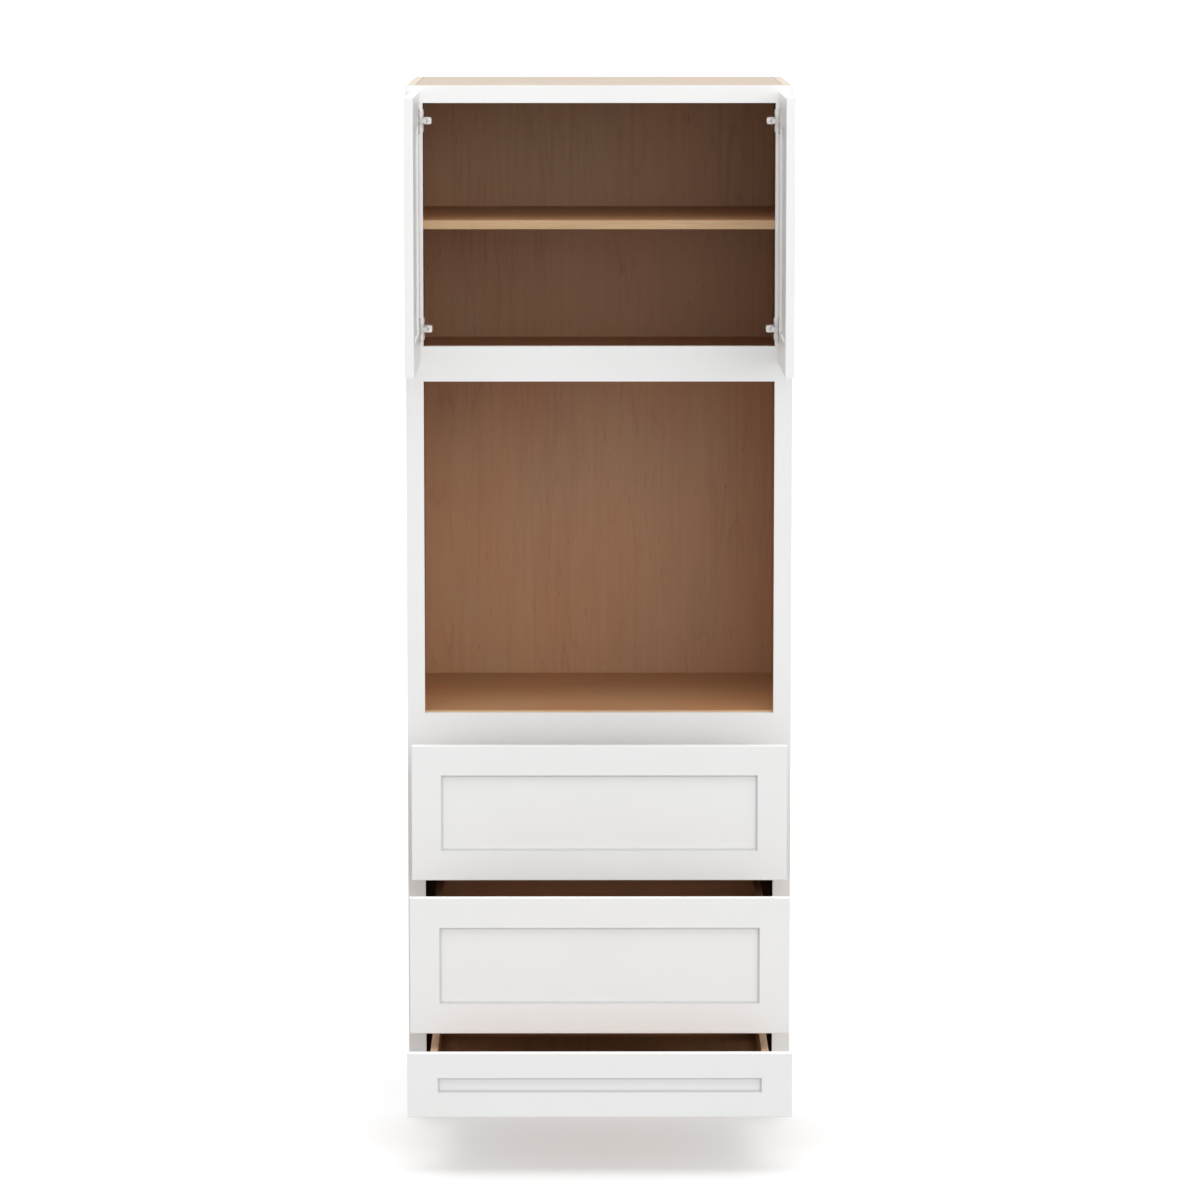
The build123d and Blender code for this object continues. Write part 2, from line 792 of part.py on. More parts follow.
for drawer in drawers:
    front_back = closed_front_back - drawer.pull
    box_back = front_back + slide_length
    box_low = drawer.opening_bottom + box_lift
    box_top = box_low + drawer.box_height
    panel_low = box_low + box_bottom_recess

    # Front: stiles, rails and flat panel
    front_centre = (0, front_back, drawer.front_bottom + drawer.front_height / 2)
    plane = back_plane(front_centre, (0, -1, 0))
    front_width = 2 * front_half
    front_stiles = eased_stiles(plane, front_width, drawer.front_height)
    finish(front_stiles, f"{drawer.name}_front_stiles")
    front_rails = eased_rails(plane, front_width, drawer.front_height, drawer.rail_width)
    finish(front_rails, f"{drawer.name}_front_rails")
    front_panel = flat_panel(plane, front_width, drawer.front_height, drawer.rail_width)
    finish(front_panel, f"{drawer.name}_front_panel")

    # Box bottom, let into grooves on all four sides
    with BuildPart() as box_bottom:
        slab(
            (-box_inner_half - box_groove_depth, box_inner_half + box_groove_depth),
            (
                front_back + box_board_thickness - box_groove_depth,
                box_back - box_board_thickness + box_groove_depth,
            ),
            (panel_low, panel_low + box_bottom_thickness),
        )
    finish(box_bottom, f"{drawer.name}_box_bottom")

    # Box front and back, with sockets for the dovetails; the back is notched over the runners
    with BuildPart() as box_ends:
        for end_y, inward in ((front_back, 1), (box_back, -1)):
            slab(
                (-box_half, box_half),
                (end_y, end_y + inward * box_board_thickness),
                (box_low, box_top),
            )
            box_tails(end_y, inward, box_low, drawer.box_height)
        notch_half = slide_width / 2 + runner_notch_gap
        slab(
            (slide_centre - notch_half, slide_centre + notch_half),
            (box_back - box_board_thickness, box_back),
            (box_low, panel_low),
            mode=Mode.SUBTRACT,
        )
        split(bisect_by=Plane.YZ, keep=Keep.TOP)
        mirror(about=Plane.YZ)
        add(box_bottom.part, mode=Mode.SUBTRACT)
    finish(box_ends, f"{drawer.name}_box_ends")

    # Box sides: full-length boards less the ends' pins and the bottom
    with BuildPart() as box_sides:
        for side in (-1, 1):
            slab(
                (side * box_inner_half, side * box_half),
                (front_back, box_back),
                (box_low, box_top),
            )
        add(box_ends.part, mode=Mode.SUBTRACT)
        add(box_bottom.part, mode=Mode.SUBTRACT)
    finish(box_sides, f"{drawer.name}_box_sides")

    # Runners under the bottom, from the box front's inner face to the back of the box
    with BuildPart() as runners:
        with BuildSketch(slide_plane(drawer, box_back)):
            runner_section()
        extrude(amount=slide_length - box_board_thickness)
        mirror(about=Plane.YZ)
    finish(runners, f"{drawer.name}_runners")

    # Middle rails, which travel half as far as the drawer
    with BuildPart() as middle_rails:
        rail_back = slide_back - middle_rail_end_gap - drawer.pull / 2
        lift = slide_metal + slide_play
        with BuildSketch(slide_plane(drawer, rail_back, lift)):
            channel_section(
                slide_width - 2 * lift, slide_height - 2 * lift, middle_rail_neck_gap
            )
        extrude(amount=slide_length - middle_rail_end_gap - middle_rail_setback)
        mirror(about=Plane.YZ)
    finish(middle_rails, f"{drawer.name}_middle_rails")

    # Catches that lock the box to its runners, behind the box front
    with BuildPart() as catches:
        catch_edge = slide_centre - runner_neck_width / 2
        catch_y = front_back + box_board_thickness
        catch_low = slide_level(drawer) + slide_height + catch_rail_gap
        slab(
            (catch_edge - catch_width, catch_edge),
            (catch_y, catch_y + catch_length),
            (catch_low, panel_low),
        )
        slab(
            (catch_edge - catch_width - catch_lever_length, catch_edge - catch_width),
            (catch_y, catch_y + catch_lever_width),
            (catch_low, catch_low + catch_lever_thickness),
        )
        mirror(about=Plane.YZ)
    finish(catches, f"{drawer.name}_catches")
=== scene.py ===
import bmesh
import bpy
from math import pi, radians
from mathutils import Matrix, Vector


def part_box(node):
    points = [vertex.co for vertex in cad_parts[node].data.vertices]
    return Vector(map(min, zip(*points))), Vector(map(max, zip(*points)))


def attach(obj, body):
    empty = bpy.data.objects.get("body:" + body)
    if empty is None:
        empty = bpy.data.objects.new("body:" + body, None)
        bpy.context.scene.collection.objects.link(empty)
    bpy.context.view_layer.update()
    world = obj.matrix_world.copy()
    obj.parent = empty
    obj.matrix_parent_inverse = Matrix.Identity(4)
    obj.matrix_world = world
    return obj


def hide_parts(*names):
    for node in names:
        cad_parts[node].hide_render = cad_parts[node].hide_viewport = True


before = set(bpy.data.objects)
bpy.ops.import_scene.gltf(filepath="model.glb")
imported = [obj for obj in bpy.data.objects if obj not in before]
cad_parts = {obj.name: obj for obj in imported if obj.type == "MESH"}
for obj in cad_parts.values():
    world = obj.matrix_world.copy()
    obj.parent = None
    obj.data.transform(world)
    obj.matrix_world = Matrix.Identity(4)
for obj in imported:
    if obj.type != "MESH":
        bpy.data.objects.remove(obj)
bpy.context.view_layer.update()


# Cabinet sides
# Two full-height boards of maple plywood, notched for the toe space and grooved inside for the floors.
# They are sprayed white outside, and clear-coated inside over veneer with upright grain.
def blank_finish(name):
    """An empty finish, with its node tree and its shader."""
    finish = bpy.data.materials.new(name)
    finish.use_nodes = True
    return finish, finish.node_tree, finish.node_tree.nodes["Principled BSDF"]


def step(tree, kind, inputs=None, **settings):
    """One node of a finish, with its settings and with its inputs set or joined to other steps."""
    node = tree.nodes.new(kind)
    for name, value in settings.items():
        setattr(node, name, value)
    for name, value in (inputs or {}).items():
        if isinstance(value, bpy.types.NodeSocket):
            tree.links.new(value, node.inputs[name])
        else:
            node.inputs[name].default_value = value
    return node


def reckon(tree, operation, *values):
    """A sum on numbers that vary over the surface."""
    return step(tree, "ShaderNodeMath", dict(enumerate(values)), operation=operation).outputs[0]


def between(tree, share, low, high):
    """The value that lies a share of the way from low to high."""
    values = {"Value": share, "To Min": low, "To Max": high}
    return step(tree, "ShaderNodeMapRange", values).outputs["Result"]


def blended(tree, share, first, second, blend_type="MIX"):
    """Two colours mixed: index 0 is the share, 6 and 7 are the colours, and 2 is the result."""
    mix = step(
        tree,
        "ShaderNodeMix",
        {0: share, 6: first, 7: second},
        data_type="RGBA",
        blend_type=blend_type,
    )
    return mix.outputs[2]


def shaded(tree, tone, stops):
    """A tone turned into colour by its stops, each a place from 0 to 1 and a colour."""
    ramp = step(tree, "ShaderNodeValToRGB", {"Fac": tone})
    scale = ramp.color_ramp
    scale.elements[0].position = stops[0][0]
    scale.elements[0].color = (*stops[0][1], 1)
    scale.elements[1].position = stops[-1][0]
    scale.elements[1].color = (*stops[-1][1], 1)
    for place, colour in stops[1:-1]:
        scale.elements.new(place).color = (*colour, 1)
    return ramp.outputs["Color"]


def speckle(tree, scale, detail=2.0, shift=0.0):
    """Noise stretched by its scale along each axis, in cells per metre."""
    place = step(tree, "ShaderNodeTexCoord").outputs["Object"]
    stretched = step(
        tree,
        "ShaderNodeVectorMath",
        {0: place, 1: scale, 2: (shift, shift, shift)},
        operation="MULTIPLY_ADD",
    )
    values = {"Vector": stretched.outputs["Vector"], "Scale": 1.0, "Detail": detail}
    return step(tree, "ShaderNodeTexNoise", values).outputs["Fac"]


def position(tree, axis):
    """How far along an axis of the cabinet a point lies, in metres."""
    place = step(tree, "ShaderNodeTexCoord").outputs["Object"]
    return step(tree, "ShaderNodeSeparateXYZ", {"Vector": place}).outputs[axis]


def beyond(tree, axis, distance):
    """1 where a point lies further than a distance from the cabinet's middle, and 0 elsewhere."""
    return reckon(tree, "GREATER_THAN", reckon(tree, "ABSOLUTE", position(tree, axis)), distance)


def grey(level):
    """A colour without tint."""
    return (level, level, level)


clear_maple_shades = (
    (0.0, (0.205, 0.090, 0.038)),
    (0.45, (0.435, 0.228, 0.111)),
    (0.62, (0.525, 0.288, 0.145)),
    (1.0, (0.61, 0.361, 0.193)),
)
ring_profile = (
    (0.0, grey(1.0)),
    (0.05, grey(0.3)),
    (0.3, grey(0.04)),
    (0.75, grey(0.0)),
    (0.94, grey(0.25)),
    (1.0, grey(1.0)),
)
rings_per_metre = 3.4
rings_per_bend = 11.0
faintest_ring = -0.9
boldest_ring = 1.5
fleck_sharpness = 16.0
fleck_level = 0.725
fleck_depth = 0.34
middle_tone = 0.62
growth_depth = -0.20
streak_depth = 0.26
fibre_depth = 0.20
cloud_depth = 0.30


def maple_tone(tree, along, across, shift):
    """Figure of flat-cut maple: nested growth lines, streaks, fine fibre and short dark flecks."""
    through = next(axis for axis in "XYZ" if axis not in (along, across))

    def on_grain(across_scale, through_scale, along_scale, detail, move=0):
        """Noise with its cells per metre across the veneer, through it and along its grain."""
        scale = {across: across_scale, through: through_scale, along: along_scale}
        return speckle(tree, tuple(scale[axis] for axis in "XYZ"), detail, shift + move)

    drift = on_grain(9.0, 9.0, 0.8, 2.0)
    bend = reckon(tree, "ABSOLUTE", reckon(tree, "SUBTRACT", drift, 0.5))
    length = reckon(tree, "MULTIPLY", position(tree, along), -rings_per_metre)
    rings = reckon(tree, "MULTIPLY_ADD", bend, rings_per_bend, length)
    line = shaded(tree, reckon(tree, "FRACT", rings), ring_profile)
    boldness = between(tree, on_grain(7.0, 9.0, 2.2, 2.0, 7), faintest_ring, boldest_ring)
    growth = reckon(tree, "MULTIPLY", line, reckon(tree, "MAXIMUM", boldness, 0.0))
    streak = between(tree, on_grain(90.0, 90.0, 2.4, 4.0, 13), -0.5, 0.5)
    fibre = between(tree, on_grain(900.0, 900.0, 14.0, 2.0), -0.5, 0.5)
    cloud = between(tree, on_grain(4.0, 6.0, 1.5, 2.0, 3), -0.5, 0.5)
    tone = reckon(tree, "MULTIPLY_ADD", growth, growth_depth, middle_tone)
    tone = reckon(tree, "MULTIPLY_ADD", streak, streak_depth, tone)
    tone = reckon(tree, "MULTIPLY_ADD", fibre, fibre_depth, tone)
    tone = reckon(tree, "MULTIPLY_ADD", cloud, cloud_depth, tone)
    pore = on_grain(330.0, 330.0, 24.0, 1.0, 29)
    pit = reckon(tree, "MULTIPLY_ADD", pore, fleck_sharpness, -fleck_sharpness * fleck_level)
    return reckon(tree, "SUBTRACT", tone, between(tree, pit, 0.0, fleck_depth))


red_tint = (1.0, 0.93, 0.87)
green_tint = (0.95, 0.98, 0.97)


def maple_warmth(tree, colour, shift):
    """Redder and greener areas of the same veneer."""
    patch = speckle(tree, (5.0, 5.0, 3.0), 1.5, shift + 41)
    tint = shaded(tree, patch, ((0.35, red_tint), (0.65, green_tint)))
    return blended(tree, 1.0, colour, tint, "MULTIPLY")


ply_shades = ((0.25, (0.50, 0.40, 0.31)), (0.5, (0.60, 0.50, 0.405)), (0.8, (0.66, 0.57, 0.47)))
two_plies = 0.0036
ply_contrast = 0.10


def ply_layers(tree, along, through):
    """Cut edge of plywood: thin plies, alternately light and dark, across the board's thickness."""
    ply = reckon(tree, "SINE", reckon(tree, "MULTIPLY", position(tree, through), 2 * pi / two_plies))
    scale = tuple(700.0 if axis == through else 45.0 for axis in "XYZ")
    tone = reckon(tree, "MULTIPLY_ADD", ply, ply_contrast, speckle(tree, scale, 3.0))
    return shaded(tree, tone, ply_shades)


def facing(tree, axis):
    """1 on faces that look along an axis, and 0 on the board's other faces."""
    normal = step(tree, "ShaderNodeTexCoord").outputs["Normal"]
    part = step(tree, "ShaderNodeSeparateXYZ", {"Vector": normal}).outputs[axis]
    return reckon(tree, "GREATER_THAN", reckon(tree, "ABSOLUTE", part), 0.5)


grain_roughness = (0.52, 0.4)
grain_relief = 0.25
grain_depth = 0.0003


def maple_plywood(tree, along, across, shift, shades, edge):
    """Colour, roughness and height of maple plywood: veneer on its two faces, and its edges.

    The edges are drawn from the axis of the board's grain and the one through its thickness.
    """
    through = next(axis for axis in "XYZ" if axis not in (along, across))
    tone = maple_tone(tree, along, across, shift)
    veneer = maple_warmth(tree, shaded(tree, tone, shades), shift)
    colour = blended(tree, facing(tree, through), edge(tree, along, through), veneer)
    return colour, between(tree, tone, *grain_roughness), tone


def coated(tree, shader, colour, roughness, height, strength, depth):
    """Join a colour, a roughness and a relief, with its strength and depth, to a shader."""
    tree.links.new(colour, shader.inputs["Base Color"])
    tree.links.new(roughness, shader.inputs["Roughness"])
    relief = step(tree, "ShaderNodeBump", {"Height": height, "Strength": strength, "Distance": depth})
    tree.links.new(relief.outputs["Normal"], shader.inputs["Normal"])


lacquer_shades = ((0.3, (0.873, 0.873, 0.868)), (0.7, (0.885, 0.885, 0.88)))
lacquer_roughness = (0.32, 0.46)
# Grey painted into the lacquer's inside corners as shade
corner_shade_grey = (0.42, 0.42, 0.41, 1)
shade_rays = 6


def sprayed_white(tree, shade_reach=0.003, shade_power=1.0):
    """Colour, roughness and height of satin white lacquer, with painted shade greying its colour deep
    in the corners.
    """
    white = shaded(tree, speckle(tree, (7.0, 7.0, 7.0)), lacquer_shades)
    corner = step(
        tree, "ShaderNodeAmbientOcclusion", {"Distance": shade_reach}, samples=shade_rays
    )
    openness = reckon(tree, "POWER", corner.outputs["AO"], shade_power)
    colour = blended(tree, openness, corner_shade_grey, white)
    peel = speckle(tree, (420.0, 420.0, 420.0))
    return colour, between(tree, peel, *lacquer_roughness), peel


def dress(finish, *names):
    """Give CAD nodes their finish."""
    for name in names:
        for material_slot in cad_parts[name].material_slots:
            material_slot.material = finish


side_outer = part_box("right_side_panel")[1].x
paint_depth = 0.0004
side_peel_relief = 0.06
side_finish, tree, shader = blank_finish("side_panel_white_and_maple")
maple, maple_roughness, figure = maple_plywood(tree, "Z", "Y", 2.0, clear_maple_shades, ply_layers)
# The white outside is the lacquer, with painted shade in its corners
white, white_roughness, peel = sprayed_white(tree)
painted = beyond(tree, "X", side_outer - paint_depth)
coated(
    tree,
    shader,
    blended(tree, painted, maple, white),
    between(tree, painted, maple_roughness, white_roughness),
    between(tree, painted, figure, peel),
    between(tree, painted, grain_relief, side_peel_relief),
    grain_depth,
)
dress(side_finish, "left_side_panel", "right_side_panel")


# Floors
# Three boards of clear-coated maple plywood, glued into the grooves of the sides and butted against the
# back. The grain runs from side to side, and a strip of solid maple is glued on each front edge.
strip_shades = ((0.3, (0.46, 0.285, 0.145)), (0.7, (0.58, 0.385, 0.215)))
strip_grain = (16.0, 300.0, 420.0)


def maple_strip(tree, along, through):
    """Solid maple strip on a board's edge, its grain from side to side."""
    grain = speckle(tree, strip_grain, 3.0, 19.0)
    drift = speckle(tree, (3.0, 3.0, 40.0), 2.0, 20.0)
    tone = reckon(tree, "MULTIPLY_ADD", drift, 0.5, reckon(tree, "MULTIPLY", grain, 0.5))
    return shaded(tree, tone, strip_shades)


def maple_board(name, along, across, shift, shades=clear_maple_shades, edge=ply_layers):
    """A finish of maple plywood with its grain along one axis and its width across another."""
    finish, tree, shader = blank_finish(name)
    colour, roughness, tone = maple_plywood(tree, along, across, shift, shades, edge)
    coated(tree, shader, colour, roughness, tone, grain_relief, grain_depth)
    return finish, tree, shader, colour


level_maple = maple_board("level_maple", "X", "Y", 5.0, edge=maple_strip)[0]
dress(level_maple, "upper_compartment_floor", "oven_floor", "bottom_panel")


# Top
# A maple plywood board glued between the sides and flush with their ends. Nobody sees it once the
# cabinet stands, so its veneer is left bare and dull, with a dark line of glue along each joint.
bare_maple_shades = (
    (0.0, (0.32, 0.225, 0.16)),
    (0.45, (0.465, 0.37, 0.297)),
    (0.62, (0.505, 0.418, 0.342)),
    (1.0, (0.555, 0.475, 0.395)),
)
bare_wood_gloss = 0.12
glue_line = 0.0016
glue_brown = (0.16, 0.115, 0.085, 1)
bare_top, tree, shader, colour = maple_board("bare_top_maple", "X", "Y", 11.0, bare_maple_shades)
shader.inputs["Specular IOR Level"].default_value = bare_wood_gloss
at_joint = beyond(tree, "X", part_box("top_panel")[1].x - glue_line)
tree.links.new(blended(tree, at_joint, colour, glue_brown), shader.inputs["Base Color"])
dress(bare_top, "top_panel")


# Adjustable shelf
# A loose board of clear-coated maple plywood on four pins, with its grain from side to side. A nosing
# of solid maple is glued on its front edge, and the arrises of both are taken off with sandpaper.
def moulded(name, shape):
    """A finished bmesh made an object at the origin."""
    mesh = bpy.data.meshes.new(name)
    shape.to_mesh(mesh)
    shape.free()
    piece = bpy.data.objects.new(name, mesh)
    bpy.context.scene.collection.objects.link(piece)
    return piece


def rounded(shape, edges, ease, clamp_overlap=False):
    """Round some edges of a shape by a given width."""
    bmesh.ops.bevel(
        shape,
        geom=edges,
        affect="EDGES",
        offset=ease,
        segments=3,
        profile=0.5,
        material=-1,
        clamp_overlap=clamp_overlap,
    )


def eased_board(name, low, high, ease):
    """A board between two corners, with its arrises taken off."""
    shape = bmesh.new()
    size = Vector(high) - Vector(low)
    bmesh.ops.create_cube(shape, size=1.0)
    bmesh.ops.scale(shape, vec=size, verts=shape.verts)
    bmesh.ops.translate(shape, vec=Vector(low) + size / 2, verts=shape.verts)
    rounded(shape, shape.edges[:], ease)
    return moulded(name, shape)


def placed(piece, body, slot, finish, *nodes):
    """Give a piece its finish and its body, and hide the nodes that it stands for."""
    piece.data.materials.append(finish)
    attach(piece, body)
    if nodes:
        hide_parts(*nodes)


shelf_low, shelf_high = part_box("adjustable_shelf")
nosing_depth = 0.003
nosing_ease = 0.0008
nosing_roughness = (0.34, 0.46)
shelf_ease = 0.0002
nosing_back = shelf_low.y + nosing_depth
shelf_maple = maple_board("shelf_maple", "X", "Y", 17.0)[0]
shelf_board = eased_board(
    "shelf_board", (shelf_low.x, nosing_back, shelf_low.z), shelf_high, shelf_ease
)
placed(shelf_board, "cabinet", "maple_veneer", shelf_maple, "adjustable_shelf")

nosing_maple, tree, shader = blank_finish("nosing_maple")
tree.links.new(maple_strip(tree, "X", "Z"), shader.inputs["Base Color"])
dullness = between(tree, speckle(tree, strip_grain), *nosing_roughness)
tree.links.new(dullness, shader.inputs["Roughness"])
shelf_nosing = eased_board(
    "shelf_nosing", shelf_low, (shelf_high.x, nosing_back, shelf_high.z), nosing_ease
)
placed(shelf_nosing, "cabinet", "maple_veneer", nosing_maple, "adjustable_shelf")


# Back panel
# One sheet of maple plywood, clear-coated, with the veneer's figure upright.
# It stands between the sides and under the top, and is glued to them and to the floors.
back_maple = maple_board("back_maple", "Z", "X", 23.0)[0]
dress(back_maple, "back_panel")


# Face frame and toe kick
# Solid maple stiles and rails, glued up, sanded flush, fixed to the front of the cabinet and sprayed
# with satin white lacquer, like the toe kick board. The frame's top edge stays raw.
peel_relief = 0.08
peel_depth = 0.0002


def white_lacquer(name, shade_reach, shade_power):
    """A finish of satin white lacquer with painted shade in its corners, and its colour for changes to
    part of the surface.
    """
    finish, tree, shader = blank_finish(name)
    white, roughness, peel = sprayed_white(tree, shade_reach, shade_power)
    coated(tree, shader, white, roughness, peel, peel_relief, peel_depth)
    return finish, tree, shader, white


frame_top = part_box("top_frame_rail")[1].z
coat_thickness = 0.0003
raw_shades = ((0.3, (0.53, 0.475, 0.40)), (0.7, (0.60, 0.55, 0.475)))
# Painted shade greys the frame's lacquer close to its inside corners
frame_finish, tree, shader, white = white_lacquer(
    "frame_lacquer", shade_reach=0.003, shade_power=1.0
)
top_edge = beyond(tree, "Z", frame_top - coat_thickness)
raw_maple = shaded(tree, speckle(tree, (14.0, 260.0, 260.0), 3.0, 9.0), raw_shades)
tree.links.new(blended(tree, top_edge, white, raw_maple), shader.inputs["Base Color"])
dress(
    frame_finish,
    "left_frame_stile",
    "right_frame_stile",
    "top_frame_rail",
    "upper_oven_rail",
    "lower_oven_rail",
    "drawer_frame_rails",
    "bottom_frame_rail",
    "toe_kick",
)


# Doors and drawer fronts
# Grooved maple stiles, rails coped and glued between them, and a flat panel loose in the grooves. The
# inner edge has a small bevel, painted in shade, greyest where it faces up; the outer edges are eased.
# The lacquer also has painted shade in its inside corners.
bevel_slope = 0.858
slope_margin = 0.012
lean_scale = 0.58
bevel_shade_greys = ((0.0, grey(0.93)), (0.5, grey(0.67)), (1.0, grey(0.50)))
front_lacquer, tree, shader, white = white_lacquer(
    "front_lacquer", shade_reach=0.004, shade_power=1.5
)
normal = step(tree, "ShaderNodeTexCoord").outputs["Normal"]
lean = step(tree, "ShaderNodeSeparateXYZ", {"Vector": normal}).outputs
leans = [reckon(tree, "ABSOLUTE", lean[axis]) for axis in "XYZ"]
steepest = reckon(tree, "MAXIMUM", leans[0], reckon(tree, "MAXIMUM", leans[1], leans[2]))
in_bevel = reckon(tree, "COMPARE", steepest, bevel_slope, slope_margin)
# Painted shade on the bevel: grey all round, palest where it faces down and greyest where it faces up
painted_bevel_shade = shaded(tree, reckon(tree, "MULTIPLY_ADD", lean["Z"], lean_scale, 0.5), bevel_shade_greys)
tree.links.new(blended(tree, in_bevel, white, painted_bevel_shade), shader.inputs["Base Color"])

groove_gap = 0.0005
fill_depth = 0.004
flush = 0.00005


def glue_fill(front, body, axis):
    """Glue that fills the grooves' open ends, past the tenons, at the top and foot of a front."""
    low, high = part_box(f"{front}_rails")
    panel_low, panel_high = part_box(f"{front}_panel")
    size = panel_high - panel_low
    size[axis] = groove_gap
    size.z = fill_depth
    shape = bmesh.new()
    for end in (low[axis] - groove_gap / 2, high[axis] + groove_gap / 2):
        for level in (low.z + fill_depth / 2 + flush, high.z - fill_depth / 2 - flush):
            middle = (panel_low + panel_high) / 2
            middle[axis] = end
            middle.z = level
            corners = bmesh.ops.create_cube(shape, size=1.0)["verts"]
            bmesh.ops.scale(shape, vec=size, verts=corners)
            bmesh.ops.translate(shape, vec=middle, verts=corners)
    placed(moulded(f"{front}_glue_fill", shape), body, "white_paint", front_lacquer)


drawers = ("upper_drawer", "middle_drawer", "lower_drawer")
# The doors stand open here, so their width runs along Y
along_x = 0
along_y = 1
fronts = [(door, door, along_y) for door in ("left_door", "right_door")]
fronts += [(drawer, f"{drawer}_front", along_x) for drawer in drawers]
for body, front, axis in fronts:
    dress(front_lacquer, f"{front}_stiles", f"{front}_rails", f"{front}_panel")
    glue_fill(front, body, axis)


# Drawer boxes
# Sides and ends of solid maple, dovetailed and glued, round a maple plywood bottom held in grooves.
# All of it is clear-coated, and the top arrises are rounded.
long_grain_shades = ((0.3, (0.44, 0.27, 0.15)), (0.7, (0.57, 0.38, 0.23)))
end_grain_shades = ((0.35, (0.24, 0.13, 0.065)), (0.65, (0.37, 0.22, 0.12)))


def solid_maple_edge(tree, along, through):
    """Edges of a solid board: pale long grain, and the darker, dotted end grain of the dovetails."""
    fine = tuple(16.0 if axis == along else 320.0 for axis in "XYZ")
    long_grain = shaded(tree, speckle(tree, fine, 3.0, 6.0), long_grain_shades)
    end_grain = shaded(tree, speckle(tree, (520.0, 520.0, 520.0), 3.0, 8.0), end_grain_shades)
    return blended(tree, facing(tree, along), long_grain, end_grain)


same_corner = 1e-6
same_level = 1e-5
flat_angle = radians(0.5)
shortest_arris = 0.1


def with_eased_top(name, node, ease):
    """A copy of a node's boards, merged, with their long top arrises rounded."""
    shape = bmesh.new()
    shape.from_mesh(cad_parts[node].data)
    bmesh.ops.remove_doubles(shape, verts=shape.verts, dist=same_corner)
    bmesh.ops.dissolve_limit(shape, angle_limit=flat_angle, verts=shape.verts, edges=shape.edges)
    top = max(vertex.co.z for vertex in shape.verts)
    at_top = [
        edge for edge in shape.edges if min(vertex.co.z for vertex in edge.verts) > top - same_level
    ]
    arrises = [edge for edge in at_top if edge.calc_length() > shortest_arris]
    rounded(shape, arrises, ease, clamp_overlap=True)
    for face in shape.faces:
        face.smooth = False
        face.material_index = 0
    return moulded(name, shape)


box_maple_shades = (
    (0.0, (0.17, 0.072, 0.030)),
    (0.45, (0.36, 0.182, 0.086)),
    (0.62, (0.435, 0.232, 0.115)),
    (1.0, (0.51, 0.295, 0.155)),
)
box_ease = 0.0015
box_side_maple = maple_board(
    "box_side_maple", "Y", "Z", 31.0, box_maple_shades, edge=solid_maple_edge
)[0]
box_end_maple = maple_board(
    "box_end_maple", "X", "Z", 37.0, box_maple_shades, edge=solid_maple_edge
)[0]
box_bottom_maple = maple_board("box_bottom_maple", "Y", "X", 43.0, box_maple_shades)[0]
for drawer in drawers:
    for board, finish in (("sides", box_side_maple), ("ends", box_end_maple)):
        node = f"{drawer}_box_{board}"
        piece = with_eased_top(f"{drawer}_eased_box_{board}", node, box_ease)
        placed(piece, drawer, "drawer_maple", finish, node)
    dress(box_bottom_maple, f"{drawer}_box_bottom")


# Drawer slides
# Undermount slides of rolled, zinc-plated steel, a pair to each drawer, screwed to the face frame. Grey
# moulded brackets carry their rear ends, and grey moulded catches lock the box to the runners.
# Dark colour painted as shade into the plating's corners, where its parts meet
steel_shade_reach = 0.005
steel_corner_shade = (0.13, 0.12, 0.11, 1)
dull_share = 0.86
metal_share = 0.75


def plated_steel(name, colour, low, high, scale):
    """Bright plating, its roughness from low to high in patches, with painted shade darkening its
    corners.
    """
    finish, tree, shader = blank_finish(name)
    wear = speckle(tree, scale, 3.0)
    dull = tuple(dull_share * part for part in colour)
    corner = step(
        tree, "ShaderNodeAmbientOcclusion", {"Distance": steel_shade_reach}, samples=shade_rays
    )
    plating = shaded(tree, wear, ((0.3, dull), (0.7, colour)))
    steel_shaded = blended(tree, corner.outputs["AO"], steel_corner_shade, plating)
    tree.links.new(steel_shaded, shader.inputs["Base Color"])
    tree.links.new(between(tree, wear, low, high), shader.inputs["Roughness"])
    shader.inputs["Metallic"].default_value = metal_share
    return finish


zinc_plate = plated_steel(
    "zinc_plate", colour=(0.66, 0.67, 0.68), low=0.28, high=0.55, scale=(160.0, 8.0, 160.0)
)
moulding_shades = ((0.3, grey(0.27)), (0.7, grey(0.33)))
moulding_roughness = (0.45, 0.65)
grey_moulding, tree, shader = blank_finish("grey_moulding")
mould_grain = speckle(tree, (700.0, 700.0, 700.0))
tree.links.new(shaded(tree, mould_grain, moulding_shades), shader.inputs["Base Color"])
tree.links.new(between(tree, mould_grain, *moulding_roughness), shader.inputs["Roughness"])
dress(zinc_plate, "slide_cabinet_rails")
dress(grey_moulding, "slide_rear_brackets")
for drawer in drawers:
    dress(zinc_plate, f"{drawer}_runners", f"{drawer}_middle_rails")
    dress(grey_moulding, f"{drawer}_catches")


# Hinges and shelf pins
# Concealed hinges pressed from nickel-plated steel: a cup sunk in the door's stile, a pin, an arm, and
# a plate screwed to the face frame. The pins under the shelf have the same plating.
even_wear = (120.0, 120.0, 120.0)
nickel_plate = plated_steel(
    "nickel_plate", colour=(0.78, 0.765, 0.74), low=0.28, high=0.44, scale=even_wear
)
# The cups have the same nickel plating, painted darker as shade in their hollows
shaded_cup_plate = plated_steel(
    "shaded_cup_plate", colour=(0.58, 0.575, 0.56), low=0.25, high=0.42, scale=even_wear
)
dress(nickel_plate, "hinge_plates", "hinge_arms", "hinge_pins", "shelf_pins")
dress(shaded_cup_plate, "left_hinge_cups", "right_hinge_cups")


